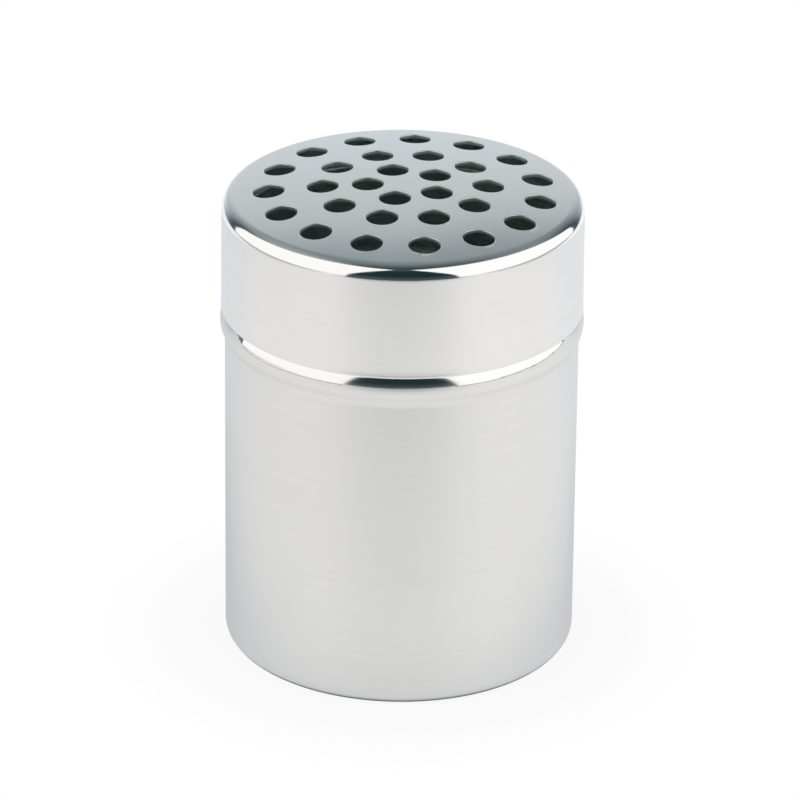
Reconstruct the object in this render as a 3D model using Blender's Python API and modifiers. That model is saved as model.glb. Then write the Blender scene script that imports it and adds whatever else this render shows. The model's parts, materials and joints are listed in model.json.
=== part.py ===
"""Steel spice shaker: a drawn cup with a shoulder and a neck, and a domed push-on lid with round holes.

Units are metres, +Z is up, and the origin is the middle of the base.
"""

import math

import bmesh
import bpy

OBJECT_NAME = "spice_shaker"

# Sheet and fit
SHEET = 0.0007
FIT_GAP = 0.0003
CUT_OVERRUN = 0.002

# Lid: a crown, a rounded corner, a skirt that widens by its draft, and a lip that flares out a little
SKIRT_RADIUS = 0.03464
SKIRT_DRAFT = 0.00016
LID_HEIGHT = 0.02536
CROWN_RADIUS = 0.2097
LID_CORNER = 0.0028
LIP_HEIGHT = 0.0018
LIP_FLARE = 0.00008

# Sprinkling holes: each ring has one count step more than the ring inside it
HOLE_DIAMETER = 0.0062
HOLE_RING_SHARES = (0.2075, 0.456, 0.7528)
HOLE_COUNT_STEP = 5
HOLE_PATTERN_SHIFT = 0.0005
FIRST_HOLE_ANGLE = math.radians(38.1)

# Cup: a neck inside the lid, a rounded shoulder that the lid rests on, and a straight wall
SHOULDER_CREST = 0.0665
SHOULDER_PROUD = 0.00016
SHOULDER_ROUND = 0.0026
BULGE_RADIUS = 0.0110
BULGE_TILT = math.radians(6.5)
SHOULDER_STEP = 0.00095
OGEE_RADIUS = 0.0027
NECK_HEADROOM = 0.0046
BASE_CORNER = 0.0030

# Sizes that follow from those above
SKIRT_FOOT_RADIUS = SKIRT_RADIUS + SKIRT_DRAFT
LID_RADIUS = SKIRT_FOOT_RADIUS + LIP_FLARE
SHOULDER_RADIUS = LID_RADIUS + SHOULDER_PROUD
BULGE_CENTRE = (SHOULDER_RADIUS - BULGE_RADIUS, SHOULDER_CREST)
ROUND_OFFSET = BULGE_RADIUS - SHOULDER_ROUND
ROUND_CENTRE = (
    BULGE_CENTRE[0] + ROUND_OFFSET * math.cos(BULGE_TILT),
    BULGE_CENTRE[1] + ROUND_OFFSET * math.sin(BULGE_TILT),
)
SEAT_REACH = LID_RADIUS - SHEET - ROUND_CENTRE[0]
SHOULDER_SEAT = ROUND_CENTRE[1] + math.sqrt(SHOULDER_ROUND**2 - SEAT_REACH**2)
LID_BOTTOM = SHOULDER_SEAT + FIT_GAP
LID_TOP = LID_BOTTOM + LID_HEIGHT
LIP_ARC = (LIP_HEIGHT**2 + LIP_FLARE**2) / (2 * LIP_FLARE)
CROWN_TILT = math.asin((SKIRT_RADIUS - LID_CORNER) / (CROWN_RADIUS - LID_CORNER))
CROWN_CENTRE = LID_TOP - CROWN_RADIUS
LID_CORNER_LEVEL = CROWN_CENTRE + (CROWN_RADIUS - LID_CORNER) * math.cos(CROWN_TILT)
NECK_RADIUS = SKIRT_RADIUS - SHEET - FIT_GAP
NECK_RIM = LID_CORNER_LEVEL - NECK_HEADROOM
CUP_RADIUS = SHOULDER_RADIUS - SHOULDER_STEP
OGEE_TILT = math.acos(1 - SHOULDER_STEP / (2 * OGEE_RADIUS))
OGEE_FOOT = SHOULDER_CREST - 2 * OGEE_RADIUS * math.sin(OGEE_TILT)

# Fineness
TURN_STEPS = 64
HOLE_SIDES = 16
WIDE_ARC_STEPS = 5
SMALL_ARC_STEPS = 4
BULGE_STEPS = 2
WELD = 0.00001
SHARP_ANGLE = math.radians(30)

# Finishes: colour, metallic value and roughness
CUP_FINISH = ((0.66, 0.66, 0.65, 1.0), 1.0, 0.34)
LID_FINISH = ((0.68, 0.68, 0.68, 1.0), 1.0, 0.30)

UP = math.pi / 2
OUT = 0.0
DOWN = -math.pi / 2
IN = math.pi


def clear_scene():
    """Remove the objects of the open scene."""
    for obj in list(bpy.data.objects):
        bpy.data.objects.remove(obj, do_unlink=True)


def new_collection(name, hidden=False):
    """A collection under the scene's own one, left out of renders if it is hidden."""
    collection = bpy.data.collections.new(name)
    collection.hide_render = hidden
    bpy.context.scene.collection.children.link(collection)
    return collection


def steel(name, finish):
    """A metal material from a finish."""
    colour, metallic, roughness = finish
    material = bpy.data.materials.new(name)
    material.use_nodes = True
    shader = material.node_tree.nodes["Principled BSDF"]
    shader.inputs["Base Color"].default_value = colour
    shader.inputs["Metallic"].default_value = metallic
    shader.inputs["Roughness"].default_value = roughness
    return material


def arc(centre, radius, start, end, steps=WIDE_ARC_STEPS):
    """Points (distance from the axis, height) of an arc, its angles measured up from the outward line."""
    angles = [start + (end - start) * step / steps for step in range(steps + 1)]
    return [(centre[0] + radius * math.cos(a), centre[1] + radius * math.sin(a)) for a in angles]


def shoulder_round(inset):
    """One face of the shoulder's sheet above its crest, from the neck out and down to the crest."""
    round_radius = SHOULDER_ROUND - inset
    neck_turn = math.acos((NECK_RADIUS - inset - ROUND_CENTRE[0]) / round_radius)
    return [
        *arc(ROUND_CENTRE, round_radius, neck_turn, BULGE_TILT),
        *arc(BULGE_CENTRE, BULGE_RADIUS - inset, BULGE_TILT, OUT, BULGE_STEPS)[1:],
    ]


def cup_inside():
    """The cup's inner line, from the middle of its floor up to the neck's rim."""
    base_centre = (CUP_RADIUS - BASE_CORNER, BASE_CORNER)
    foot_centre = (CUP_RADIUS + OGEE_RADIUS, OGEE_FOOT)
    top_centre = (SHOULDER_RADIUS - OGEE_RADIUS, SHOULDER_CREST)
    return [
        (0, SHEET),
        *arc(base_centre, BASE_CORNER - SHEET, DOWN, OUT),
        *arc(foot_centre, OGEE_RADIUS + SHEET, IN, IN - OGEE_TILT, SMALL_ARC_STEPS),
        *arc(top_centre, OGEE_RADIUS - SHEET, -OGEE_TILT, OUT, SMALL_ARC_STEPS)[1:],
        *shoulder_round(SHEET)[-2::-1],
    ]


def cup_outside():
    """The cup's outer line, from the neck's rim down to the middle of its base."""
    rim_centre = (NECK_RADIUS - SHEET / 2, NECK_RIM - SHEET / 2)
    top_centre = (SHOULDER_RADIUS - OGEE_RADIUS, SHOULDER_CREST)
    foot_centre = (CUP_RADIUS + OGEE_RADIUS, OGEE_FOOT)
    base_centre = (CUP_RADIUS - BASE_CORNER, BASE_CORNER)
    return [
        *arc(rim_centre, SHEET / 2, IN, OUT, SMALL_ARC_STEPS),
        *shoulder_round(0),
        *arc(top_centre, OGEE_RADIUS, OUT, -OGEE_TILT)[1:],
        *arc(foot_centre, OGEE_RADIUS, IN - OGEE_TILT, IN)[1:],
        *arc(base_centre, BASE_CORNER, OUT, DOWN),
        (0, 0),
    ]


def lid_side(inset):
    """One face of the lid's sheet, from the middle of its crown down to the lip's edge."""
    lip_centre = (SKIRT_FOOT_RADIUS + LIP_ARC, LID_BOTTOM + LIP_HEIGHT)
    lip_radius = LIP_ARC + inset
    lip_turn = math.asin(LIP_HEIGHT / lip_radius)
    corner_centre = (SKIRT_RADIUS - LID_CORNER, LID_CORNER_LEVEL)
    return [
        *arc((0, CROWN_CENTRE), CROWN_RADIUS - inset, UP, UP - CROWN_TILT),
        *arc(corner_centre, LID_CORNER - inset, UP - CROWN_TILT, OUT)[1:],
        *arc(lip_centre, lip_radius, IN, IN + lip_turn, SMALL_ARC_STEPS),
    ]


def turned(name, profile, material, collection):
    """A solid turned from a profile that starts and ends on the axis and runs down its outer side."""
    mesh = bpy.data.meshes.new(name)
    points = [(distance, 0, height) for distance, height in profile]
    edges = [(first, first + 1) for first in range(len(points) - 1)]
    mesh.from_pydata(points, edges, [])
    mesh.materials.append(material)
    obj = bpy.data.objects.new(name, mesh)
    collection.objects.link(obj)
    screw = obj.modifiers.new("turn", "SCREW")
    screw.steps = TURN_STEPS
    screw.render_steps = TURN_STEPS
    screw.use_merge_vertices = True
    screw.merge_threshold = WELD
    return obj


def hole_places():
    """The middle of each sprinkling hole, ring by ring."""
    places = []
    for ring, share in enumerate(HOLE_RING_SHARES, start=1):
        count = ring * HOLE_COUNT_STEP
        for index in range(count):
            angle = FIRST_HOLE_ANGLE + math.tau * index / count
            reach = share * SKIRT_RADIUS
            places.append((HOLE_PATTERN_SHIFT + reach * math.cos(angle), reach * math.sin(angle)))
    return places


def hole_punches(collection):
    """The round punches that open the sprinkling holes, as one cutter."""
    punches = bmesh.new()
    bottom = LID_CORNER_LEVEL - CUT_OVERRUN
    top = LID_TOP + CUT_OVERRUN
    for x, y in hole_places():
        made = bmesh.ops.create_cone(
            punches,
            cap_ends=True,
            segments=HOLE_SIDES,
            radius1=HOLE_DIAMETER / 2,
            radius2=HOLE_DIAMETER / 2,
            depth=top - bottom,
        )
        bmesh.ops.translate(punches, verts=made["verts"], vec=(x, y, (top + bottom) / 2))
    mesh = bpy.data.meshes.new("hole_punches")
    punches.to_mesh(mesh)
    punches.free()
    cutter = bpy.data.objects.new("hole_punches", mesh)
    cutter.hide_render = True
    cutter.display_type = "WIRE"
    collection.objects.link(cutter)
    return cutter


def settle_shape(obj):
    """Keep the mesh that the modifiers make, smooth but for its sharp edges."""
    graph = bpy.context.evaluated_depsgraph_get()
    mesh = bpy.data.meshes.new_from_object(obj.evaluated_get(graph))
    obj.modifiers.clear()
    obj.data = mesh
    mesh.name = obj.name
    mesh.shade_smooth()
    mesh.set_sharp_from_angle(angle=SHARP_ANGLE)


def shaker_body(parts):
    """The drawn cup: base, wall, shoulder and the neck that the lid slides over."""
    material = steel("cup_steel", CUP_FINISH)
    cup = turned("shaker_body", cup_inside() + cup_outside(), material, parts)
    settle_shape(cup)
    return cup


def perforated_lid(parts, cutters):
    """The push-on lid, its crown pierced by the sprinkling holes."""
    material = steel("lid_steel", LID_FINISH)
    profile = lid_side(0) + lid_side(SHEET)[::-1]
    lid = turned("perforated_lid", profile, material, parts)
    holes = lid.modifiers.new("sprinkling_holes", "BOOLEAN")
    holes.operation = "DIFFERENCE"
    holes.solver = "EXACT"
    holes.object = hole_punches(cutters)
    settle_shape(lid)
    return lid


def main():
    """Build the shaker."""
    clear_scene()
    parts = new_collection(OBJECT_NAME)
    cutters = new_collection(OBJECT_NAME + "_cutters", hidden=True)
    shaker_body(parts)
    perforated_lid(parts, cutters)


main()
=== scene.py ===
"""Steel spice shaker: turned shells, finishes, studio and camera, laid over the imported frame."""

import json
import logging
import math
from dataclasses import dataclass, field
from enum import Enum

import bpy
from mathutils import Matrix, Vector

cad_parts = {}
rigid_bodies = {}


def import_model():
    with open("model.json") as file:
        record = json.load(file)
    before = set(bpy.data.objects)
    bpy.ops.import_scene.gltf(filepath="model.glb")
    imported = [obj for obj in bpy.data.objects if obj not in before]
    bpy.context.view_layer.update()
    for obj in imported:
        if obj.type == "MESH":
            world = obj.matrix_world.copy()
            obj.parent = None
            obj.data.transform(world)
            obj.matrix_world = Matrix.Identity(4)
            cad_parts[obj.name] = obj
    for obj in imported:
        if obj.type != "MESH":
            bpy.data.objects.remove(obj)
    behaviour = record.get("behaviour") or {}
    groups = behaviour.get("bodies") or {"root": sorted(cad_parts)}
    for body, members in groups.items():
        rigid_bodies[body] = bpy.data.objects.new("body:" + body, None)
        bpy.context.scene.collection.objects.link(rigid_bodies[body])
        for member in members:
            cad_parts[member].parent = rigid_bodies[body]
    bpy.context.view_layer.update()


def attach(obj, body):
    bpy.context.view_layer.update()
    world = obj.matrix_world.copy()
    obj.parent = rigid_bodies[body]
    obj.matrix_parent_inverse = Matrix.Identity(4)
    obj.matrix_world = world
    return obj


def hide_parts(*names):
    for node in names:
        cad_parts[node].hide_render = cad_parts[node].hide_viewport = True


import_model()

LOG = logging.getLogger("spice_shaker")

Point = tuple[float, float]
Outline = list[Point]
Span = tuple[float, float]
Triple = tuple[float, float, float]
Colour = Triple
Socket = bpy.types.NodeSocket

# Lengths are metres and angles radians
UP, OUT, DOWN, IN = math.pi / 2, 0.0, -math.pi / 2, math.pi
TURN_STEPS = 256
WELD = 0.000002
TOUCH = 5 * WELD
SEED_SIZE = 0.001
FACES_UP = 0.9
HALF_TURN = math.degrees(math.pi)
SHARPEST = math.radians(32)
WHITE: Colour = (1.0, 1.0, 1.0)


class Zone(Enum):
    """A part of a shell's surface that has a finish of its own, with the finish's name."""

    CROWN = "crown_satin"
    CORNER = "corner_polish"
    SKIRT = "skirt_brushed"
    SHOULDER_ROUND = "shoulder_polish_highlight"
    STRIP_EDGE = "strip_shade_line"
    STRIP_TIP = "strip_tip_reflection"
    RIM = "hole_rim"
    HOLE_WALL = "hole_wall"
    LID_INSIDE = "lid_inside"
    WALL = "wall_brushed"
    SHOULDER = "shoulder_brushed"
    NECK = "neck_drawn"
    BASE = "base_satin"
    CUP_INSIDE = "cup_inside"


# Drawing tools


def deselect_all() -> None:
    """Leaves nothing selected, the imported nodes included."""
    for thing in bpy.context.view_layer.objects:
        thing.select_set(False)


def make_active(thing: bpy.types.Object) -> None:
    """Selects one object alone and makes it active.

    Args:
        thing: The object.
    """
    deselect_all()
    thing.select_set(True)
    bpy.context.view_layer.objects.active = thing


def arc(centre: Point, radius: float, start: float, end: float, steps: int) -> Outline:
    """Points along an arc in the radius and height plane.

    Args:
        centre: The arc's centre.
        radius: Its radius.
        start: The first angle, in radians from straight outwards.
        end: The last angle.
        steps: How many equal parts the arc is cut into.

    Returns:
        The arc's points, both ends included.
    """
    turn = (end - start) / steps
    angles = [start + turn * step for step in range(steps + 1)]
    return [(centre[0] + radius * math.cos(a), centre[1] + radius * math.sin(a)) for a in angles]


def straight(start: Point, end: Point, steps: int) -> Outline:
    """Points along a straight line, its start left out.

    Args:
        start: The point that the line comes from.
        end: Its last point.
        steps: How many equal parts the line is cut into.

    Returns:
        The points after the start, the end included.
    """
    (near, low), (far, high) = start, end
    shares = [step / steps for step in range(1, steps + 1)]
    return [(near + (far - near) * s, low + (high - low) * s) for s in shares]


def next_centre(centre: Point, radius: float, next_radius: float, turn: float) -> Point:
    """Finds the centre of an arc that runs on smoothly from another one.

    Args:
        centre: The first arc's centre.
        radius: Its radius.
        next_radius: The next arc's radius.
        turn: The angle at which the two arcs meet.

    Returns:
        The next arc's centre.
    """
    step = radius - next_radius
    return centre[0] + step * math.cos(turn), centre[1] + step * math.sin(turn)


def extrude(offset: Triple) -> None:
    """Extrudes the selected part by an offset."""
    bpy.ops.mesh.extrude_region_move(TRANSFORM_OT_translate={"value": offset})


def turned_shell(name: str, outline: Outline) -> bpy.types.Object:
    """Spins a closed wall about Z from an outline that starts and ends on the axis.

    Args:
        name: The new piece's name.
        outline: Points as (radius, height), from the axis back to the axis.

    Returns:
        The new piece, with its faces pointing outwards.
    """
    deselect_all()
    radius, height = outline[0]
    bpy.ops.mesh.primitive_plane_add(size=SEED_SIZE, location=(radius, 0, height))
    piece = bpy.context.object
    piece.name = piece.data.name = name
    bpy.ops.object.transform_apply(location=True, rotation=True, scale=True)
    bpy.ops.object.mode_set(mode="EDIT")
    bpy.ops.mesh.select_mode(type="VERT")
    bpy.ops.mesh.select_all(action="SELECT")
    bpy.ops.mesh.merge(type="CENTER")
    for (near, low), (far, high) in zip(outline, outline[1:]):
        extrude((far - near, 0, high - low))
    bpy.ops.mesh.select_all(action="SELECT")
    bpy.ops.mesh.spin(steps=TURN_STEPS, angle=math.tau, center=(0, 0, 0), axis=(0, 0, 1))
    bpy.ops.mesh.select_all(action="SELECT")
    bpy.ops.mesh.remove_doubles(threshold=WELD)
    bpy.ops.mesh.normals_make_consistent(inside=False)
    bpy.ops.object.mode_set(mode="OBJECT")
    return piece


def apply_modifier(piece: bpy.types.Object, kind: str, **settings: object) -> None:
    """Adds one modifier to a piece and applies it.

    Args:
        piece: The piece that is changed.
        kind: The modifier's type.
        **settings: The modifier's own settings.
    """
    make_active(piece)
    modifier = piece.modifiers.new(kind.lower(), kind)
    for key, value in settings.items():
        setattr(modifier, key, value)
    bpy.ops.object.modifier_apply(modifier=modifier.name)


def sharpen_border(piece: bpy.types.Object, border: tuple[Zone, Zone]) -> None:
    """Makes the edges between the faces of two zones sharp.

    Args:
        piece: The piece that is changed.
        border: The two zones.
    """
    slots = {piece.data.materials.find(zone.value) for zone in border}
    touching: dict[tuple[int, int], set[int]] = {}
    for face in piece.data.polygons:
        for key in face.edge_keys:
            touching.setdefault(key, set()).add(face.material_index)
    for edge in piece.data.edges:
        if touching[edge.key] == slots:
            edge.use_edge_sharp = True


def smooth(piece: bpy.types.Object, border: tuple[Zone, Zone] | None = None) -> None:
    """Shades a piece smoothly but for its sharp edges, with the large faces leading.

    Args:
        piece: The piece to shade.
        border: Two zones whose common edge stays sharp too.
    """
    make_active(piece)
    bpy.ops.object.shade_smooth_by_angle(angle=SHARPEST)
    if border:
        sharpen_border(piece, border)
    apply_modifier(piece, "WEIGHTED_NORMAL", mode="FACE_AREA", weight=50, keep_sharp=True)


# Node tools


def opaque(colour: Colour) -> tuple[float, ...]:
    """Gives a colour its full alpha."""
    return (*colour, 1.0)


@dataclass
class Wiring:
    """Adds nodes to one tree and joins them."""

    tree: bpy.types.NodeTree

    def add(self, kind: str, *values: object, **settings: object) -> bpy.types.Node:
        """Adds one node.

        Args:
            kind: The node's type name.
            *values: A socket or a plain value for each of its first inputs.
            **settings: The node's own settings.

        Returns:
            The new node.
        """
        made = self.tree.nodes.new(kind)
        for key, value in settings.items():
            setattr(made, key, value)
        for socket, value in zip(made.inputs, values):
            self.put(value, socket)
        return made

    def put(self, value: object, socket: Socket) -> None:
        """Feeds a socket from another one, or sets it to a plain value.

        Args:
            value: The other socket, or the plain value.
            socket: The socket that is fed.
        """
        if isinstance(value, Socket):
            self.tree.links.new(value, socket)
        else:
            socket.default_value = value

    def sum(self, kind: str, *values: object, clamp: bool = False) -> Socket:
        """Adds a Math node of one kind, which can keep its result between 0 and 1."""
        return self.add("ShaderNodeMath", *values, operation=kind, use_clamp=clamp).outputs[0]

    def times(self, first: object, second: object) -> Socket:
        """Multiplies two values."""
        return self.sum("MULTIPLY", first, second)

    def ramp(self, value: object, span: Span, ends: Span = (0.0, 1.0)) -> Socket:
        """Adds a smooth step from one value to another.

        Args:
            value: What the step follows.
            span: Where the step begins and ends.
            ends: The results at those two places and beyond them.

        Returns:
            The result's socket.
        """
        values = (value, *span, *ends)
        made = self.add("ShaderNodeMapRange", *values, interpolation_type="SMOOTHSTEP")
        return made.outputs["Result"]

    def blend(self, share: object, first: object, second: object, kind: str = "MIX") -> Socket:
        """Adds a colour mix.

        Args:
            share: How much of the second colour, from 0 to 1.
            first: A colour or its socket.
            second: A colour or its socket.
            kind: How the two are joined.

        Returns:
            The mixed colour's socket.
        """
        made = self.add("ShaderNodeMix", data_type="RGBA", blend_type=kind)
        self.put(share, made.inputs[0])
        for place, colour in ((6, first), (7, second)):
            self.put(opaque(colour) if isinstance(colour, tuple) else colour, made.inputs[place])
        return made.outputs[2]

    def noise(self, vector: Socket, scale: object, detail: float, rough: float = 0.5) -> Socket:
        """Adds a noise pattern.

        Args:
            vector: Where the pattern is read.
            scale: How fine it is, as a number or a socket.
            detail: How many finer layers it has.
            rough: How strong the finer layers are.

        Returns:
            The pattern's value, about 0 to 1.
        """
        made = self.add("ShaderNodeTexNoise", vector)
        for key, value in (("Scale", scale), ("Detail", detail), ("Roughness", rough)):
            self.put(value, made.inputs[key])
        return made.outputs["Fac"]

    def apart(self, vector: Socket) -> tuple[Socket, ...]:
        """Splits a vector into its three parts."""
        return tuple(self.add("ShaderNodeSeparateXYZ", vector).outputs)

    def length(self, vector: Socket) -> Socket:
        """Measures a vector."""
        return self.add("ShaderNodeVectorMath", vector, operation="LENGTH").outputs["Value"]


Group = tuple[Wiring, bpy.types.Node, bpy.types.Node]


def node_group(name: str, takes: dict[str, float], gives: tuple[str, ...]) -> Group:
    """Starts a shader node group.

    Args:
        name: The group's name.
        takes: Its inputs and their usual values.
        gives: Its outputs.

    Returns:
        The wiring of the group's tree, its input node and its output node.
    """
    tree = bpy.data.node_groups.new(name, "ShaderNodeTree")
    kind = "NodeSocketFloat"
    for key, value in takes.items():
        tree.interface.new_socket(key, in_out="INPUT", socket_type=kind).default_value = value
    for key in gives:
        tree.interface.new_socket(key, in_out="OUTPUT", socket_type=kind)
    wiring = Wiring(tree)
    return wiring, wiring.add("NodeGroupInput"), wiring.add("NodeGroupOutput")


class Texture(Enum):
    """The fine patterns that a finish can have, with their node groups' names."""

    BRUSHED = "turned_brushing"
    SATIN = "satin_grain"


@dataclass
class SurfaceEffects:
    """The node groups that the steel finishes share."""

    broad_scale: float = 0.16
    fine_share: float = 0.6
    scratch_ways: tuple[tuple[float, Triple], ...] = (
        (0.5, (1.0, 9.0, 2.0)),
        (2.1, (8.0, 1.0, 3.0)),
    )
    scratch_tilt: float = 0.4
    scratch_width: Span = (0.0, 0.006)
    patch_scale: float = 140.0
    patch_span: Span = (0.56, 0.7)
    smear_scale: float = 60.0
    smear_span: Span = (0.55, 0.75)

    def __post_init__(self) -> None:
        """Builds each group once."""
        self.patterns = {Texture.BRUSHED: self._brushing(), Texture.SATIN: self._grain()}
        self.handling = self._handling()

    def _brushing(self) -> bpy.types.NodeTree:
        """Makes the turned brush lines.

        Returns:
            A group that gives fine lines round the axis, as a Height and a Tone.
        """
        takes = {"Fineness": 9000.0, "Run": 5.0}
        wiring, given, out = node_group(Texture.BRUSHED.value, takes, ("Height", "Tone"))
        x, y, z = wiring.apart(wiring.add("ShaderNodeTexCoord").outputs["Object"])
        reach = wiring.sum("SQRT", wiring.sum("ADD", wiring.times(x, x), wiring.times(y, y)))
        round_x = wiring.times(wiring.sum("DIVIDE", x, reach), given.outputs["Run"])
        round_y = wiring.times(wiring.sum("DIVIDE", y, reach), given.outputs["Run"])
        along = wiring.times(wiring.sum("SUBTRACT", z, reach), given.outputs["Fineness"])
        lines = wiring.add("ShaderNodeCombineXYZ", round_x, round_y, along).outputs[0]
        fine = wiring.noise(lines, 1.0, 3.0, 0.6)
        broad = wiring.noise(lines, self.broad_scale, 2.0)
        wiring.put(fine, out.inputs["Height"])
        shares = (wiring.times(fine, self.fine_share), wiring.times(broad, 1 - self.fine_share))
        wiring.put(wiring.sum("ADD", *shares), out.inputs["Tone"])
        return wiring.tree

    def _grain(self) -> bpy.types.NodeTree:
        """Makes the satin metal's grain.

        Returns:
            A group that gives a fine even grain as a Height, and slow clouds as a Tone.
        """
        takes = {"Fineness": 5200.0, "Cloud": 90.0}
        wiring, given, out = node_group(Texture.SATIN.value, takes, ("Height", "Tone"))
        place = wiring.add("ShaderNodeTexCoord").outputs["Object"]
        fine = wiring.noise(place, given.outputs["Fineness"], 2.0, 0.6)
        cloud = wiring.noise(place, given.outputs["Cloud"], 4.0, 0.55)
        wiring.put(fine, out.inputs["Height"])
        wiring.put(cloud, out.inputs["Tone"])
        return wiring.tree

    def _handling(self) -> bpy.types.NodeTree:
        """Makes the faint scratches and finger smears of use.

        Returns:
            A group that gives thin Scratches and soft Smears, both mostly 0.
        """
        takes = {"Fineness": 55.0, "Amount": 0.5}
        wiring, given, out = node_group("handling_marks", takes, ("Scratches", "Smears"))
        place = wiring.add("ShaderNodeTexCoord").outputs["Object"]
        marks = []
        for turn, stretch in self.scratch_ways:
            mapped = wiring.add("ShaderNodeMapping", place)
            mapped.inputs["Rotation"].default_value = (turn, self.scratch_tilt * turn, turn)
            mapped.inputs["Scale"].default_value = stretch
            lines = wiring.noise(mapped.outputs[0], given.outputs["Fineness"], 1.0, 0.4)
            near = wiring.sum("ABSOLUTE", wiring.sum("SUBTRACT", lines, 0.5))
            marks.append(wiring.ramp(near, self.scratch_width, (1.0, 0.0)))
        patches = wiring.ramp(wiring.noise(place, self.patch_scale, 2.0), self.patch_span)
        smears = wiring.ramp(wiring.noise(place, self.smear_scale, 3.0), self.smear_span)
        scratches = wiring.times(wiring.sum("MAXIMUM", *marks), patches)
        for pattern, key in ((scratches, "Scratches"), (smears, "Smears")):
            wiring.put(wiring.times(pattern, given.outputs["Amount"]), out.inputs[key])
        return wiring.tree


# Finishes


TONE_SPAN: Span = (0.2, 0.8)
BRUSH_TURN = 0.25
SMEAR_SHARE, SMEAR_SHADE = 0.12, 0.8
SMEAR_ROUGHNESS, SCRATCH_ROUGHNESS = 0.05, 0.08


@dataclass(frozen=True)
class SteelFinish:
    """One finish of the stainless steel sheet."""

    texture: Texture
    colour: Colour
    roughness: float
    anisotropy: float = 0.0
    fineness: float = 9000.0
    tone_spread: float = 0.04
    rough_spread: float = 0.04
    depth: float = 0.0
    wear: float = 0.3

    def shaded(self, share: float) -> Colour:
        """Gives the finish's colour, lighter or darker by a share."""
        return tuple(min(1.0, part * share) for part in self.colour)

    def build(self, name: str, effects: SurfaceEffects) -> bpy.types.Material:
        """Makes the material.

        Args:
            name: The material's name.
            effects: The shared node groups.

        Returns:
            The finished material.
        """
        material = bpy.data.materials.new(name)
        material.use_nodes = True
        wiring = Wiring(material.node_tree)
        steel = material.node_tree.nodes["Principled BSDF"]
        pattern = wiring.add("ShaderNodeGroup", node_tree=effects.patterns[self.texture])
        pattern.inputs["Fineness"].default_value = self.fineness
        handling = wiring.add("ShaderNodeGroup", node_tree=effects.handling)
        handling.inputs["Amount"].default_value = self.wear
        scratches, smears = handling.outputs["Scratches"], handling.outputs["Smears"]
        dark, light = self.shaded(1 - self.tone_spread), self.shaded(1 + self.tone_spread)
        tone = wiring.blend(wiring.ramp(pattern.outputs["Tone"], TONE_SPAN), dark, light)
        rubbed = wiring.blend(wiring.times(smears, SMEAR_SHARE), tone, self.shaded(SMEAR_SHADE))
        wiring.put(rubbed, steel.inputs["Base Color"])
        swing = wiring.sum("SUBTRACT", pattern.outputs["Tone"], 0.5)
        rough = wiring.sum("ADD", wiring.times(swing, 2 * self.rough_spread), self.roughness)
        rough = wiring.sum("ADD", rough, wiring.times(scratches, SCRATCH_ROUGHNESS))
        rough = wiring.sum("ADD", rough, wiring.times(smears, SMEAR_ROUGHNESS), clamp=True)
        wiring.put(rough, steel.inputs["Roughness"])
        steel.inputs["Metallic"].default_value = 1.0
        if self.anisotropy:
            steel.inputs["Anisotropic"].default_value = self.anisotropy
            steel.inputs["Anisotropic Rotation"].default_value = BRUSH_TURN
            around = wiring.add("ShaderNodeTangent", direction_type="RADIAL", axis="Z")
            wiring.put(around.outputs[0], steel.inputs["Tangent"])
        if self.depth:
            relief = wiring.add("ShaderNodeBump")
            relief.inputs["Strength"].default_value = 1.0
            relief.inputs["Distance"].default_value = self.depth
            height = wiring.sum("SUBTRACT", pattern.outputs["Height"], scratches)
            wiring.put(height, relief.inputs["Height"])
            wiring.put(relief.outputs["Normal"], steel.inputs["Normal"])
        return material


SHEET_COLOUR: Colour = (0.785, 0.778, 0.765)
WALL_COLOUR: Colour = (0.768, 0.764, 0.756)
SKIRT_COLOUR: Colour = (0.825, 0.818, 0.805)
POLISH_COLOUR: Colour = (0.95, 0.95, 0.945)
# Hole walls: the steel darkened and tinted teal, as painted shade of the holes' recesses.
HOLE_WALL_SHADE_COLOUR: Colour = (0.43, 0.54, 0.51)
NECK_COLOUR: Colour = (0.73, 0.775, 0.765)
# A painted shade line along the lower edge of the shoulder's strip.
STRIP_SHADE_LINE_COLOUR: Colour = (0.40, 0.41, 0.40)
# A painted dark reflection at each tip of the shoulder's strip.
STRIP_TIP_REFLECTION_COLOUR: Colour = (0.11, 0.20, 0.20)
DULL_COLOUR: Colour = (0.76, 0.90, 0.875)
SATIN, BRUSHED = Texture.SATIN, Texture.BRUSHED
EVEN_BRUSH = {"anisotropy": 0.3, "tone_spread": 0.02, "rough_spread": 0.02}

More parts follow.
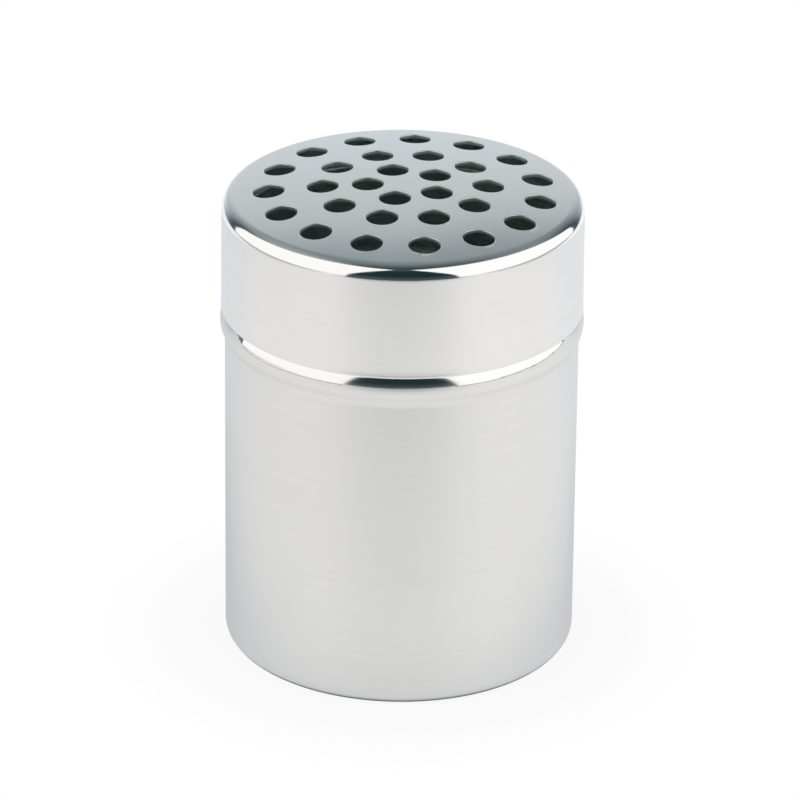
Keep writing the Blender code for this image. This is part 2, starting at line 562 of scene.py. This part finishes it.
FINISHES: dict[Zone, SteelFinish] = {
    Zone.CROWN: SteelFinish(
        SATIN, SHEET_COLOUR, 0.21, fineness=5200.0, tone_spread=0.02, depth=0.0000012
    ),
    Zone.CORNER: SteelFinish(BRUSHED, POLISH_COLOUR, 0.08, tone_spread=0.015, rough_spread=0.02),
    Zone.SKIRT: SteelFinish(BRUSHED, SKIRT_COLOUR, 0.30, **EVEN_BRUSH),
    # The strip's polish, kept to the front of the shoulder, where it is also a painted highlight.
    Zone.SHOULDER_ROUND: SteelFinish(
        BRUSHED, POLISH_COLOUR, 0.12, tone_spread=0.03, rough_spread=0.06
    ),
    # Painted shade line under the strip.
    Zone.STRIP_EDGE: SteelFinish(BRUSHED, STRIP_SHADE_LINE_COLOUR, 0.3),
    # Painted dark reflection at the strip's tips.
    Zone.STRIP_TIP: SteelFinish(BRUSHED, STRIP_TIP_REFLECTION_COLOUR, 0.3),
    Zone.RIM: SteelFinish(SATIN, POLISH_COLOUR, 0.3, tone_spread=0.02),
    # The hole walls' colour is painted shade.
    Zone.HOLE_WALL: SteelFinish(SATIN, HOLE_WALL_SHADE_COLOUR, 0.55),
    Zone.LID_INSIDE: SteelFinish(SATIN, DULL_COLOUR, 0.42, tone_spread=0.03),
    Zone.WALL: SteelFinish(BRUSHED, WALL_COLOUR, 0.36, **EVEN_BRUSH),
    Zone.SHOULDER: SteelFinish(BRUSHED, SHEET_COLOUR, 0.38, **EVEN_BRUSH),
    Zone.NECK: SteelFinish(BRUSHED, NECK_COLOUR, 0.38, fineness=4000.0, tone_spread=0.05),
    Zone.BASE: SteelFinish(BRUSHED, SHEET_COLOUR, 0.14, fineness=5000.0),
    Zone.CUP_INSIDE: SteelFinish(
        BRUSHED, DULL_COLOUR, 0.4, fineness=1800.0, tone_spread=0.3, rough_spread=0.15
    ),
}


# The shaker


@dataclass
class Shell:
    """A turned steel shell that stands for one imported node."""

    effects: SurfaceEffects
    sheet: float = 0.0007
    piece: bpy.types.Object | None = field(default=None, init=False)

    def dress(self, zones: tuple[Zone, ...]) -> None:
        """Gives each face the finish of its zone.

        Args:
            zones: The zones that the shell has.
        """
        for zone in zones:
            self.piece.data.materials.append(FINISHES[zone].build(zone.value, self.effects))
        for face in self.piece.data.polygons:
            reach = math.hypot(face.center.x, face.center.y)
            outward = face.normal.xy.dot(face.center.xy) / max(reach, WELD)
            zone = self.zone_of(face.center, face.normal, reach, outward)
            face.material_index = zones.index(zone)

    def zone_of(self, centre: Vector, normal: Vector, reach: float, outward: float) -> Zone:
        """Says which zone a face is in.

        Args:
            centre: The face's middle.
            normal: Its normal.
            reach: The distance of its middle from the axis.
            outward: How far its normal points outwards.

        Returns:
            The zone.
        """
        raise NotImplementedError

    def place(self, node: str, body: str, slot: str) -> None:
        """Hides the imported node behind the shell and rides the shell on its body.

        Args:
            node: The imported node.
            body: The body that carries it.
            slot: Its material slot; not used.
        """
        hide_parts(node)
        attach(self.piece, body)
        LOG.info("%s: %d faces on body %s", self.piece.name, len(self.piece.data.polygons), body)


@dataclass
class Lid(Shell):
    """The push-on lid: pierced crown, polished corner, and a skirt that bells out at its foot."""

    top: float = 0.09499
    bottom: float = 0.0698
    skirt_radius: float = 0.03464
    foot_radius: float = 0.03480
    crown_radius: float = 0.2097
    corner_radius: float = 0.0028
    satin_end: float = math.radians(50)
    soft_start: float = math.radians(13)
    soft_radius: float = 0.0050
    polish_end: float = math.radians(5.5)
    bell_height: float = 0.0018
    bell_flare: float = 0.00008
    edge: float = 0.00016
    hole_radius: float = 0.00304
    hole_edge: float = 0.00014
    hole_sides: int = 48
    rim_width: float = 0.00024
    rim_sink: float = 0.00002
    rim_facing: Span = (0.1, 0.99)
    rim_depth: float = 0.95
    inside_facing: float = -0.3
    pattern_shift: Point = (0.0004, -0.0003)
    ring_shares: tuple[float, ...] = (0.2075, 0.456, 0.7528)
    ring_step: int = 5
    first_angle: float = math.radians(38.1)
    dome_steps: int = 22
    corner_steps: tuple[int, ...] = (7, 11, 2, 3)
    wall_steps: int = 10
    bell_steps: int = 6
    edge_steps: tuple[int, int] = (5, 4)
    flare_steps: int = 6

    @property
    def tilt(self) -> float:
        """The angle that the dome covers, from the axis to the corner."""
        inner = self.skirt_radius - self.corner_radius
        return math.asin(inner / (self.crown_radius - self.corner_radius))

    @property
    def dome_centre(self) -> float:
        """The height of the dome's centre."""
        return self.top - self.crown_radius

    @property
    def corner_level(self) -> float:
        """The height at which the corner runs into the skirt."""
        return self.dome_centre + (self.crown_radius - self.corner_radius) * math.cos(self.tilt)

    @property
    def bell_top(self) -> float:
        """The height at which the skirt's foot begins to bell out."""
        return self.bottom + self.bell_height

    def side(self, inset: float) -> Outline:
        """Draws the crown, the corner, the skirt and its belled foot.

        Args:
            inset: How far inside the outer face the line runs.

        Returns:
            The line's points from the axis outwards and down.
        """
        reach = self.crown_radius - inset
        dome = arc((0, self.dome_centre), reach, UP, UP - self.tilt, self.dome_steps)
        middle = (self.skirt_radius - self.corner_radius, self.corner_level)
        low = next_centre(middle, self.corner_radius, self.soft_radius, self.soft_start)
        turns = (
            (middle, self.corner_radius, UP - self.tilt, self.satin_end),
            (middle, self.corner_radius, self.satin_end, self.soft_start),
            (low, self.soft_radius, self.soft_start, self.polish_end),
            (low, self.soft_radius, self.polish_end, OUT),
        )
        corner = []
        for (centre, radius, start, end), steps in zip(turns, self.corner_steps):
            corner += arc(centre, radius - inset, start, end, steps)[1:]
        wall = straight(corner[-1], (self.foot_radius - inset, self.bell_top), self.wall_steps)
        bow = (self.bell_height**2 + self.bell_flare**2) / (2 * self.bell_flare)
        turn = math.asin(self.bell_height / bow)
        centre = (self.foot_radius + bow, self.bell_top)
        bell = arc(centre, bow + inset, IN, IN + turn, self.bell_steps)[1:-1]
        return dome + corner + wall + bell

    def outline(self) -> Outline:
        """Draws the lid's whole section, with its rounded lower edge.

        Returns:
            The outline's points, from the axis outside to the axis inside.
        """
        reach = self.foot_radius + self.bell_flare
        level = self.bottom + self.edge
        outer_steps, inner_steps = self.edge_steps
        outer = arc((reach - self.edge, level), self.edge, OUT, DOWN, outer_steps)
        inner = arc((reach - self.sheet + self.edge, level), self.edge, DOWN, -IN, inner_steps)
        return self.side(0) + outer + inner + self.side(self.sheet)[::-1]

    def hole_places(self) -> list[Point]:
        """Lists where the holes stand on the crown.

        Returns:
            Each hole's x and y.
        """
        right, back = self.pattern_shift
        places = []
        for ring, share in enumerate(self.ring_shares, start=1):
            count = ring * self.ring_step
            reach = share * self.skirt_radius
            for index in range(count):
                angle = self.first_angle + math.tau * index / count
                places.append((right + reach * math.cos(angle), back + reach * math.sin(angle)))
        return places

    def punch(self) -> bpy.types.Object:
        """Shapes the tool that cuts one hole and rounds its upper edge.

        Returns:
            The tool, standing at the origin with the sheet's outer face at height 0.
        """
        deselect_all()
        sink = 3 * self.sheet
        start = -self.hole_edge
        bpy.ops.mesh.primitive_cylinder_add(
            vertices=self.hole_sides,
            radius=self.hole_radius,
            depth=sink + start,
            location=(0, 0, (start - sink) / 2),
        )
        tool = bpy.context.object
        bpy.ops.object.transform_apply(location=True, rotation=True, scale=True)
        bpy.ops.object.mode_set(mode="EDIT")
        bpy.ops.mesh.select_mode(type="FACE")
        bpy.ops.mesh.select_all(action="DESELECT")
        bpy.ops.object.mode_set(mode="OBJECT")
        for face in tool.data.polygons:
            face.select = face.normal.z > FACES_UP
        bpy.ops.object.mode_set(mode="EDIT")
        level, reach = start, self.hole_radius
        widen = self.rim_width / self.hole_edge
        outer = self.hole_radius + self.rim_width
        turns = arc((0, start), self.hole_edge, IN, UP, self.flare_steps)[1:]
        flare = [(outer + across * widen, height) for across, height in turns]
        for radius, height in flare + [(flare[-1][0], self.sheet)]:
            extrude((0, 0, height - level))
            share = radius / reach
            bpy.ops.transform.resize(value=(share, share, 1), center_override=(0, 0, height))
            level, reach = height, radius
        bpy.ops.object.mode_set(mode="OBJECT")
        return tool

    def punches(self) -> bpy.types.Object:
        """Stands one tool square to the dome at each hole and joins them.

        Returns:
            All the tools as one object.
        """
        first = self.punch()
        tools = []
        for x, y in self.hole_places():
            tool = first.copy()
            tool.data = first.data.copy()
            bpy.context.scene.collection.objects.link(tool)
            rise = math.sqrt(self.crown_radius**2 - x * x - y * y)
            height = self.dome_centre + rise - self.rim_sink
            square = Vector((x, y, height - self.dome_centre)).normalized()
            turn = square.to_track_quat("Z", "Y").to_matrix().to_4x4()
            tool.matrix_world = Matrix.Translation((x, y, height)) @ turn
            tools.append(tool)
        bpy.data.objects.remove(first)
        deselect_all()
        for tool in tools:
            tool.select_set(True)
        bpy.context.view_layer.objects.active = tools[0]
        bpy.ops.object.join()
        bpy.ops.object.transform_apply(location=True, rotation=True, scale=True)
        return bpy.context.object

    def zone_of(self, centre: Vector, normal: Vector, reach: float, outward: float) -> Zone:
        """Says which zone of the lid a face is in.

        Args:
            centre: The face's middle.
            normal: Its normal.
            reach: The distance of its middle from the axis.
            outward: How far its normal points outwards.

        Returns:
            The zone.
        """
        square = Vector((centre.x, centre.y, centre.z - self.dome_centre))
        in_sheet = self.crown_radius - square.length < self.rim_depth * self.sheet
        if in_sheet and reach < self.skirt_radius - 2 * self.corner_radius:
            near = min(math.hypot(centre.x - x, centre.y - y) for x, y in self.hole_places())
            facing = normal.dot(square.normalized())
            steepest, flattest = self.rim_facing
            if near < self.hole_radius + self.rim_width and facing < flattest:
                return Zone.RIM if facing > steepest else Zone.HOLE_WALL
        above_bell = centre.z > self.bell_top
        faces_in = outward < 0 and normal.z < FACES_UP
        if faces_in or normal.z < self.inside_facing and above_bell:
            return Zone.LID_INSIDE
        if normal.z > math.sin(self.satin_end):
            return Zone.CROWN
        if normal.z > math.sin(self.polish_end) and above_bell:
            return Zone.CORNER
        return Zone.SKIRT

    def build(self) -> None:
        """Turns the lid, cuts its holes and dresses it."""
        self.piece = turned_shell("lid_shell", self.outline())
        tools = self.punches()
        apply_modifier(self.piece, "BOOLEAN", object=tools, operation="DIFFERENCE", solver="EXACT")
        bpy.data.objects.remove(tools)
        holes = (Zone.RIM, Zone.HOLE_WALL)
        self.dress((Zone.CROWN, Zone.CORNER, Zone.SKIRT, *holes, Zone.LID_INSIDE))
        smooth(self.piece, (Zone.CROWN, Zone.RIM))
        self.place("perforated_lid", "lid", "lid_steel")


@dataclass
class Strip:
    """The shoulder's strip round the front: polish that is also a painted highlight, with a
    painted shade line under it and painted dark reflections at its tips. Pairs give its left side
    first.
    """

    start: float = math.radians(7.7)
    span: float = math.radians(64.2)
    turn: float = math.radians(-0.4)
    tapers: tuple[int, int] = (12, 5)
    # Where along the strip the painted dark reflection at each tip begins.
    tips: Span = (0.936, 0.97)
    # Where the painted shade line under the strip begins, and its width.
    line_start: float = 0.28
    line_width: float = math.radians(1.2)

    def zone_at(self, around: float, lean: float, top: float) -> Zone:
        """Says which part of the strip, or of the shoulder round it, a face is in.

        Args:
            around: Where the face stands round the axis, from the front to the right.
            lean: How far its normal leans up.
            top: The lean at the strip's upper edge.

        Returns:
            The zone.
        """
        along, side = abs(around - self.turn) / self.span, int(around > self.turn)
        if along >= 1:
            return Zone.SHOULDER
        least = self.start + (top - self.start) * along ** self.tapers[side]
        # Above the tapering edge the strip is polished, which also paints a highlight kept to the
        # front.
        if lean > least:
            # The strip's last part at each end gets a painted dark reflection.
            return Zone.STRIP_TIP if along > self.tips[side] else Zone.SHOULDER_ROUND
        # A narrow band under the strip's front part gets the painted shade line.
        under = lean > least - self.line_width and along > self.line_start
        return Zone.STRIP_EDGE if under else Zone.SHOULDER


@dataclass
class Cup(Shell):
    """The drawn cup: rounded base, wall, ogee, rounded shoulder, and the neck inside the lid."""

    radius: float = 0.03409
    base_corner: float = 0.0030
    shoulder_radius: float = 0.03500
    crest: float = 0.0670
    ogee_radius: float = 0.0044
    crest_radius: float = 0.0053
    crest_tilt: float = math.radians(6.5)
    strip_radius: float = 0.00705
    strip_tilt: float = math.radians(22)
    round_radius: float = 0.0006
    neck_radius: float = 0.03364
    neck_rim: float = 0.08514
    wall_facing: float = 0.82
    floor_facing: float = 0.05
    round_steps: int = 10
    strip_steps: int = 14
    crest_steps: int = 4
    ogee_steps: int = 8
    floor_steps: int = 8
    corner_steps: tuple[int, int] = (8, 14)
    rim_steps: int = 8
    wall_steps: int = 20
    strip: Strip = field(default_factory=Strip)

    @property
    def corner_centre(self) -> Point:
        """The centre of the base's rounded corner."""
        return self.radius - self.base_corner, self.base_corner

    def shoulder(self, inset: float) -> Outline:
        """Draws the shoulder: its rounding under the neck, its strip, its crest and the ogee.

        Args:
            inset: How far inside the outer face the line runs.

        Returns:
            The line's points from above down to the wall.
        """
        crest = (self.shoulder_radius - self.crest_radius, self.crest)
        strip = next_centre(crest, self.crest_radius, self.strip_radius, self.crest_tilt)
        head = next_centre(strip, self.strip_radius, self.round_radius, self.strip_tilt)
        bend = (self.shoulder_radius - self.ogee_radius, self.crest)
        turn = math.acos(1 - (self.shoulder_radius - self.radius) / (2 * self.ogee_radius))
        foot = (self.radius + self.ogee_radius, self.crest - 2 * self.ogee_radius * math.sin(turn))
        if inset:
            seam = strip[1] + (self.strip_radius - inset) * math.sin(self.strip_tilt)
            rounding = [(self.neck_radius - inset, seam)]
        else:
            start = math.acos((self.neck_radius - head[0]) / self.round_radius)
            turns = arc(head, self.round_radius, start, self.strip_tilt, self.round_steps)
            rounding = turns[:-1]
        top, low = self.strip_tilt, self.crest_tilt
        return (
            rounding
            + arc(strip, self.strip_radius - inset, top, low, self.strip_steps)
            + arc(crest, self.crest_radius - inset, low, OUT, self.crest_steps)[1:]
            + arc(bend, self.ogee_radius - inset, OUT, -turn, self.ogee_steps)[1:]
            + arc(foot, self.ogee_radius + inset, IN - turn, IN, self.ogee_steps)[1:]
        )

    def inside(self) -> Outline:
        """Draws the cup's inner face.

        Returns:
            The points from the floor's middle up to the neck's inner foot.
        """
        thick = self.sheet
        bend, steps = self.corner_centre, self.corner_steps[0]
        floor = straight((0, thick), (bend[0], thick), self.floor_steps)
        corner = arc(bend, self.base_corner - thick, DOWN, OUT, steps)[1:]
        return [(0, thick)] + floor + corner + self.shoulder(thick)[::-1]

    def outside(self) -> Outline:
        """Draws the neck's rim and the cup's outer face.

        Returns:
            The points from the rim's inner side to the axis under the base.
        """
        half = self.sheet / 2
        top = (self.neck_radius - half, self.neck_rim - half)
        rim = arc(top, half, IN, OUT, self.rim_steps)
        shoulder = self.shoulder(0)
        wall = straight(shoulder[-1], (self.radius, self.base_corner), self.wall_steps)
        bend, steps = self.corner_centre, self.corner_steps[1]
        corner = arc(bend, self.base_corner, OUT, DOWN, steps)[1:]
        base = straight(corner[-1], (0, 0), self.floor_steps)
        return rim + shoulder + wall + corner + base

    def zone_of(self, centre: Vector, normal: Vector, reach: float, outward: float) -> Zone:
        """Says which zone of the cup a face is in.

        Args:
            centre: The face's middle.
            normal: Its normal.
            reach: The distance of its middle from the axis.
            outward: How far its normal points outwards.

        Returns:
            The zone.
        """
        half = self.sheet / 2
        above_crest = centre.z > self.crest
        in_wall = centre.z > half and reach < self.radius - half
        on_floor = in_wall and normal.z > self.floor_facing and not above_crest
        if outward < 0 or on_floor:
            in_cup = reach > self.neck_radius or centre.z < self.neck_rim - self.sheet
            return Zone.CUP_INSIDE if in_cup else Zone.NECK
        if above_crest and reach < self.neck_radius + TOUCH:
            return Zone.NECK
        if above_crest and normal.z > 0:
            around = math.atan2(centre.x, -centre.y)
            return self.strip.zone_at(around, math.asin(normal.z), self.strip_tilt)
        if outward > self.wall_facing:
            return Zone.SHOULDER if reach > self.radius + TOUCH else Zone.WALL
        return Zone.BASE

    def build(self) -> None:
        """Turns the cup and dresses it."""
        self.piece = turned_shell("cup_shell", self.inside() + self.outside())
        strip = (Zone.SHOULDER_ROUND, Zone.STRIP_EDGE, Zone.STRIP_TIP)
        self.dress((Zone.WALL, Zone.SHOULDER, *strip, Zone.NECK, Zone.BASE, Zone.CUP_INSIDE))
        smooth(self.piece)
        self.place("shaker_body", "cup", "cup_steel")


# Studio


@dataclass
class Floor:
    """The pale floor: it keeps a faint shadow, and in the steel's mirror image it has painted
    shade by the cup, a painted contact shadow and painted light on its right.
    """

    front: float = -0.36
    back: float = 1.4
    half_width: float = 0.36
    sink: float = 0.00002
    matt_colour: Colour = (0.82, 0.82, 0.82)
    plain_span: Span = (0.034, 0.065)
    plain_shares: Span = (0.91, 1.0)
    shade_place: Triple = (-0.005, 0.045, 0.0)
    shade_span: Span = (0.035, 0.11)
    shade_colour: Colour = (0.65, 0.69, 0.73)
    cool_span: Span = (0.0, 0.12)
    cool_colour: Colour = (0.89, 0.925, 0.96)
    # Painted light: the right side of the mirrored floor is lighter than its left.
    side_span: Span = (-0.2, 0.2)
    left_colour: Colour = (0.985, 0.985, 0.98)
    right_colour: Colour = (1.035, 1.035, 1.035)
    # The painted contact shadow under the base, seen only in the steel.
    contact_span: Span = (0.0325, 0.0342)
    contact_shadow_colour: Colour = (0.10, 0.14, 0.14)

    def mirrored(self, wiring: Wiring, place: Socket, out: Socket) -> Socket:
        """Colours the floor as the steel mirrors it, with painted shade behind the cup, a painted
        contact shadow and a lighter right side as painted light.

        Args:
            wiring: The tree to build in.
            place: The place on the floor.
            out: Its distance from the shaker's axis.

        Returns:
            The colour's socket.
        """
        # Painted shade close behind the cup.
        behind = wiring.add("ShaderNodeVectorMath", place, self.shade_place, operation="SUBTRACT")
        away = wiring.length(behind.outputs[0])
        shade = wiring.blend(wiring.ramp(away, self.shade_span), self.shade_colour, WHITE)
        x, y, _ = wiring.apart(place)
        cool = wiring.blend(wiring.ramp(y, self.cool_span), WHITE, self.cool_colour)
        # Painted light: the floor's right side lighter than its left.
        side_light = wiring.blend(wiring.ramp(x, self.side_span), self.left_colour, self.right_colour)
        for tint in (cool, side_light):
            shade = wiring.blend(1.0, shade, tint, "MULTIPLY")
        # Painted contact shadow under the base.
        return wiring.blend(wiring.ramp(out, self.contact_span), self.contact_shadow_colour, shade)

    def material(self) -> bpy.types.Material:
        """Makes the floor's material: matt for the light, white to the camera, and to the steel a
        pale colour with painted shade, a painted contact shadow and painted light.

        Returns:
            The material.
        """
        material = bpy.data.materials.new("pale_floor")
        material.use_nodes = True
        wiring = Wiring(material.node_tree)
        nodes = material.node_tree.nodes
        nodes.remove(nodes["Principled BSDF"])
        matt = wiring.add("ShaderNodeBsdfDiffuse", opaque(self.matt_colour))
        white = wiring.add("ShaderNodeEmission")
        rays = wiring.add("ShaderNodeLightPath").outputs
        seen = wiring.sum("MAXIMUM", rays["Is Camera Ray"], rays["Is Glossy Ray"])
        seen = wiring.sum("MAXIMUM", seen, rays["Is Transmission Ray"])
        place = wiring.add("ShaderNodeTexCoord").outputs["Object"]
        out = wiring.length(place)
        colour = wiring.blend(rays["Is Camera Ray"], self.mirrored(wiring, place, out), WHITE)
        wiring.put(colour, white.inputs["Color"])
        plain = wiring.ramp(out, self.plain_span, self.plain_shares)
        parts = (wiring.times(seen, plain), matt.outputs[0], white.outputs[0])
        mixed = wiring.add("ShaderNodeMixShader", *parts)
        wiring.put(mixed.outputs[0], nodes["Material Output"].inputs["Surface"])
        return material

    def build(self) -> None:
        """Lays the floor."""
        deselect_all()
        bpy.ops.mesh.primitive_plane_add(size=1, location=(0, 0, 0))
        floor = bpy.context.object
        floor.name = "floor"
        floor.scale = (2 * self.half_width, self.back - self.front, 1)
        floor.location = (0, (self.back + self.front) / 2, -self.sink)
        bpy.ops.object.transform_apply(location=True, rotation=True, scale=True)
        floor.data.materials.append(self.material())


@dataclass
class Room:
    """The light all round: white side panels, a dark front, and a ceiling that fades forwards.

    The ceiling's angles are degrees, from the horizon behind over the top to the one in front.
    """

    ceiling: tuple[tuple[float, Colour], ...] = (
        (0, (0.74, 0.81, 0.85)),
        (10, (0.72, 0.79, 0.83)),
        (22, (0.69, 0.73, 0.77)),
        (30, (0.66, 0.70, 0.735)),
        (36, (0.60, 0.655, 0.69)),
        (42, (0.25, 0.305, 0.32)),
        (55, (0.26, 0.315, 0.33)),
        (65, (0.24, 0.29, 0.30)),
        (75, (0.215, 0.26, 0.27)),
        (85, (0.17, 0.21, 0.22)),
        (95, (0.105, 0.135, 0.145)),
        (105, (0.045, 0.07, 0.08)),
        (125, (0.04, 0.06, 0.066)),
        (135, (0.022, 0.036, 0.041)),
        (145, (0.014, 0.029, 0.034)),
        (180, (0.012, 0.028, 0.033)),
    )
    bow_limit: float = 0.2
    bow_rate: float = 38.5
    skew_rate: float = 16.5
    front_span: Span = (-0.1, -0.3)
    front_top: Span = (8.0, 12.0)
    front_rise: Span = (-14.0, 8.0)
    front_low: Colour = (0.075, 0.105, 0.115)
    front_high: Colour = (0.012, 0.028, 0.033)
    panel_front: Triple = (0.552, 0.352, 0.169)
    panel_back: Triple = (0.4905, -0.4475, -0.3103)
    panel_edge: Triple = (1.0, -1.4, 0.0)
    plane_softness: float = 0.008
    least_back: float = 0.05
    right_widening: float = 0.0835
    hollow_turn: Span = (0.2, 1.2)
    hollow_top: Span = (0.45, 0.75)
    hollow_front: Span = (0.0, 0.1)
    hollow_colour: Colour = (0.045, 0.08, 0.09)
    soffit_side: Span = (-0.25, -0.45)
    soffit_rise: Span = (0.4, 0.6)
    soffit_colour: Colour = (0.35, 0.42, 0.42)
    glow_span: Span = (-0.3, 0.3)
    glow_left: Colour = (1.03, 1.005, 0.975)
    glow_right: Colour = (1.05, 1.045, 1.035)
    foot_rise: Span = (-10.5, -8.5)
    foot_colour: Colour = (0.42, 0.45, 0.46)

    def over(self, wiring: Wiring, way: tuple[Socket, ...], side: Socket, rise: Socket) -> Socket:
        """Colours the ceiling and the dark front.

        Args:
            wiring: The tree to build in.
            way: The direction's parts.
            side: The size of its x part.
            rise: Its height above the horizon, in degrees.

        Returns:
            The colour's socket.
        """
        x, y, z = way
        limit = self.bow_limit
        over = wiring.times(wiring.sum("ARCTAN2", z, y), math.degrees(1))
        bow = wiring.times(wiring.sum("MINIMUM", side, limit), self.bow_rate)
        middle = wiring.sum("MAXIMUM", wiring.sum("MINIMUM", x, limit), -limit)
        skew = wiring.times(middle, self.skew_rate)
        angle = wiring.sum("ADD", over, wiring.sum("ADD", bow, skew))
        share = wiring.sum("DIVIDE", angle, HALF_TURN, clamp=True)
        fade = wiring.add("ShaderNodeValToRGB", share)
        stops = fade.color_ramp.elements
        for place, (degrees, colour) in enumerate(self.ceiling):
            stop = stops[place] if place in (0, 1) else stops.new(degrees / HALF_TURN)
            stop.position, stop.color = degrees / HALF_TURN, opaque(colour)
        front = wiring.blend(wiring.ramp(rise, self.front_rise), self.front_low, self.front_high)
        low = wiring.ramp(rise, self.front_top, (1.0, 0.0))
        dark = wiring.times(wiring.ramp(y, self.front_span), low)
        return wiring.blend(dark, fade.outputs[0], front)

    def plane(self, wiring: Wiring, way: tuple[Socket, ...], slope: Triple) -> Socket:
        """Masks the half of all directions on one side of a plane, with a narrow soft edge.

        Args:
            wiring: The tree to build in.
            way: The direction's parts.
            slope: How much each part counts.

        Returns:
            The mask's socket, 0 on one side and 1 on the other.
        """
        first, second, third = (wiring.times(part, share) for part, share in zip(way, slope))
        total = wiring.sum("ADD", wiring.sum("ADD", first, second), third)
        return wiring.ramp(total, (-self.plane_softness, self.plane_softness))

    def build(self) -> None:
        """Lights the scene with the room."""
        world = bpy.data.worlds.new("studio_room")
        bpy.context.scene.world = world
        world.use_nodes = True
        wiring = Wiring(world.node_tree)
        x, y, z = wiring.apart(wiring.add("ShaderNodeTexCoord").outputs["Generated"])
        side = wiring.sum("ABSOLUTE", x)
        rise = wiring.times(wiring.sum("ARCSINE", z), math.degrees(1))
        room = self.over(wiring, (x, y, z), side, rise)
        wider = wiring.times(side, 1 + self.right_widening)
        wide = wiring.sum("ADD", wider, wiring.times(x, self.right_widening))
        before = self.plane(wiring, (side, y, z), self.panel_front)
        behind = self.plane(wiring, (side, y, z), self.panel_back)
        edge = self.plane(wiring, (wide, y, z), self.panel_edge)
        panel = wiring.times(wiring.times(before, behind), edge)
        soffit = wiring.times(wiring.ramp(x, self.soffit_side), wiring.ramp(z, self.soffit_rise))
        room = wiring.blend(soffit, room, self.soffit_colour)
        turned = wiring.sum("DIVIDE", wide, wiring.sum("MAXIMUM", y, self.least_back))
        low = wiring.ramp(z, self.hollow_top, (1.0, 0.0))
        hollow = wiring.times(wiring.ramp(turned, self.hollow_turn), low)
        hollow = wiring.times(hollow, wiring.ramp(y, self.hollow_front))
        room = wiring.blend(hollow, room, self.hollow_colour)
        glow = wiring.blend(wiring.ramp(x, self.glow_span), self.glow_left, self.glow_right)
        room = wiring.blend(panel, room, glow)
        foot = wiring.times(wiring.ramp(rise, self.foot_rise, (1.0, 0.0)), before)
        room = wiring.blend(foot, room, self.foot_colour)
        rays = wiring.add("ShaderNodeLightPath").outputs
        background = world.node_tree.nodes["Background"]
        seen = wiring.blend(rays["Is Camera Ray"], room, WHITE)
        wiring.put(seen, background.inputs["Color"])
        background.inputs["Strength"].default_value = 1.0


@dataclass
class PictureView:
    """The camera at the picture's view, as if the picture were 800 by 800."""

    place: Triple = (-0.00021, -1.05475, 0.53841)
    pitch: float = math.radians(24.88)
    roll: float = math.radians(0.62)
    lens: float = 270.0
    sensor: float = 36.0
    clip: Span = (0.05, 20.0)

    def build(self) -> None:
        """Sets the camera up."""
        camera = bpy.data.cameras.new("picture_view")
        camera.lens = self.lens
        camera.sensor_width = self.sensor
        camera.clip_start, camera.clip_end = self.clip
        holder = bpy.data.objects.new("picture_view", camera)
        bpy.context.scene.collection.objects.link(holder)
        forward = Vector((0, math.cos(self.pitch), -math.sin(self.pitch)))
        above = Vector((0, math.sin(self.pitch), math.cos(self.pitch)))
        level = Vector((1, 0, 0))
        side = level * math.cos(self.roll) + above * math.sin(self.roll)
        head = above * math.cos(self.roll) - level * math.sin(self.roll)
        turned = Matrix((side, head, -forward)).transposed().to_4x4()
        holder.matrix_world = Matrix.Translation(self.place) @ turned
        bpy.context.scene.camera = holder


def build_studio() -> None:
    """Builds the floor, the room's light and the camera."""
    for part in (Floor(), Room(), PictureView()):
        part.build()
    bpy.context.scene.view_settings.view_transform = "Standard"
    LOG.info("studio: floor, room light and camera")


def main() -> None:
    """Builds each sub-assembly in order."""
    logging.basicConfig(level=logging.INFO, format="%(name)s %(message)s")
    effects = SurfaceEffects()
    Cup(effects).build()
    Lid(effects).build()
    build_studio()


if __name__ == "__main__":
    main()
